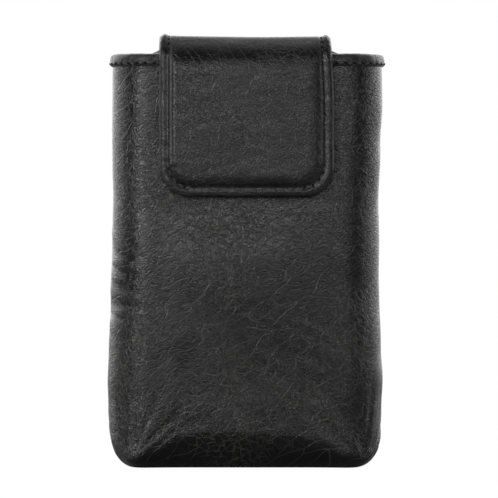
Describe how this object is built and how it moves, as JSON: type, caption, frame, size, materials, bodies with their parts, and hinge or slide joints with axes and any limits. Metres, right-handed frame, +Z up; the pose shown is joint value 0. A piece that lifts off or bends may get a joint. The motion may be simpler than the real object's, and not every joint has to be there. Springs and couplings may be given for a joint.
{
  "type": "soft camera pouch",
  "caption": "Upright soft leather pouch for a pocket camera, with a padded flap that folds over the mouth and hangs down the front.",
  "frame": {"origin": "on the floor under the middle of the case's bounding box", "axes": "+Z up to the flap, the front with the hanging flap faces -Y, +X is to the right seen from the front"},
  "size_m": [0.0752, 0.0534, 0.1202],
  "materials": {
    "black_leather": "satin",
    "black_suede_lining": "matte",
    "foam_padding": "matte",
    "stiffener_board": "matte",
    "black_thread": "satin",
    "plated_steel": "satin",
    "magnet": "satin",
    "patch_cloth": "matte"
  },
  "bodies": {
    "pouch": {"front_wrap_leather": "black_leather", "back_panel_leather": "black_leather", "bottom_panel_leather": "black_leather", "mouth_rim_binding": "black_leather", "belt_loop": "black_leather", "front_wrap_lining": "black_suede_lining", "back_lining": "black_suede_lining", "bottom_lining": "black_suede_lining", "front_wrap_foam": "foam_padding", "back_board": "stiffener_board", "bottom_board": "stiffener_board", "mouth_rim_thread": "black_thread", "left_back_seam_thread": "black_thread", "right_back_seam_thread": "black_thread", "belt_loop_threads": "black_thread", "keeper_plate": "plated_steel", "keeper_patch": "patch_cloth"},
    "flap_top": {"flap_top_leather": "black_leather", "flap_top_lining": "black_suede_lining", "flap_top_threads": "black_thread"},
    "flap_front": {"flap_front_leather": "black_leather", "flap_front_lining": "black_suede_lining", "flap_pad": "foam_padding", "flap_magnet": "magnet", "flap_magnet_patch": "patch_cloth", "flap_front_thread": "black_thread"}
  },
  "joints": [
    {"name": "flap_lift", "type": "hinge", "parent": "pouch", "child": "flap_top", "pos_m": [0, 0.01845, 0.1163], "axis": [-1, 0, 0], "range_deg": [0, 150]},
    {"name": "flap_straighten", "type": "hinge", "parent": "flap_top", "child": "flap_front", "pos_m": [0, -0.0216, 0.11695], "axis": [-1, 0, 0], "range_deg": [0, 90]}
  ]
}
